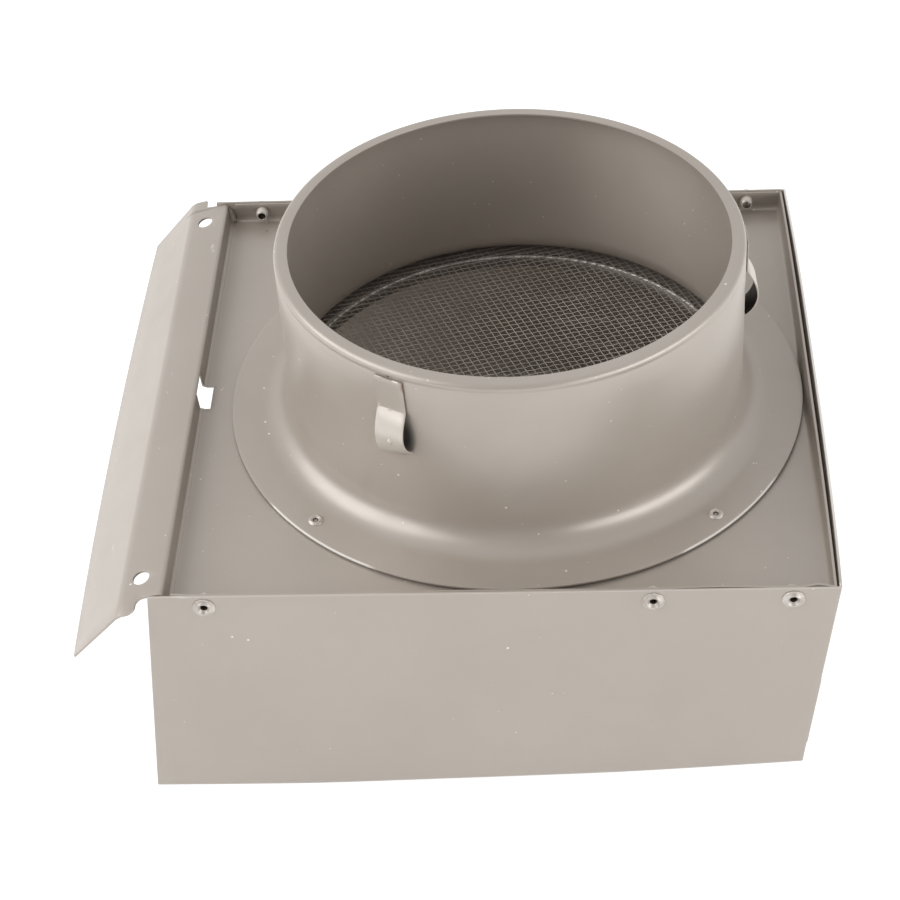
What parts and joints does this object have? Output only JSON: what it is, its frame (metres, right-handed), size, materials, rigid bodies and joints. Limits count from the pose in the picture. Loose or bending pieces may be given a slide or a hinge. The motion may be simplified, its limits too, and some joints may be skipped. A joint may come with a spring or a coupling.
{
  "type": "dryer vent cap",
  "caption": "Folded sheet metal hood for the outside wall end of a round dryer duct, with a screened spigot, spring clips and a sloped screw flange.",
  "frame": {"origin": "where the spigot's axis meets the wall plane, the plane of the hood's three rims", "axes": "+Z along the spigot into the wall, +X up the wall in use (away from the outlet), Y along the outlet"},
  "size_m": [0.2265, 0.205, 0.1391],
  "materials": {
    "powder_coat": "satin taupe powder coat",
    "screen_wire": "woven wire under the same thin coat",
    "rivet_paint": "satin, coated with the sheet",
    "mandrel_steel": "dull, dark",
    "spring_steel": "satin coat over spring steel, worn at the edges"
  },
  "bodies": {
    "cap": {"base_pan": "powder_coat", "spigot": "powder_coat", "screen": "screen_wire", "hood": "powder_coat", "hood_rivets_front": "rivet_paint", "hood_rivets_back": "rivet_paint", "rivet_mandrels": "mandrel_steel", "spigot_rivets": "rivet_paint"},
    "leaf_1": {"leaf_spring_1": "spring_steel"},
    "leaf_2": {"leaf_spring_2": "spring_steel"},
    "leaf_3": {"leaf_spring_3": "spring_steel"}
  },
  "joints": [
    {"name": "leaf_1_press", "type": "slide", "parent": "cap", "child": "leaf_1", "axis": [-0.9994, -0.0349, 0], "range_m": [0, 0.0025], "stiffness_N_per_m": 500, "deforming": ["leaf_spring_1"]},
    {"name": "leaf_2_press", "type": "slide", "parent": "cap", "child": "leaf_2", "axis": [0.5299, -0.848, 0], "range_m": [0, 0.0025], "stiffness_N_per_m": 500, "deforming": ["leaf_spring_2"]},
    {"name": "leaf_3_press", "type": "slide", "parent": "cap", "child": "leaf_3", "axis": [0.4695, 0.8829, 0], "range_m": [0, 0.0025], "stiffness_N_per_m": 500, "deforming": ["leaf_spring_3"]}
  ]
}
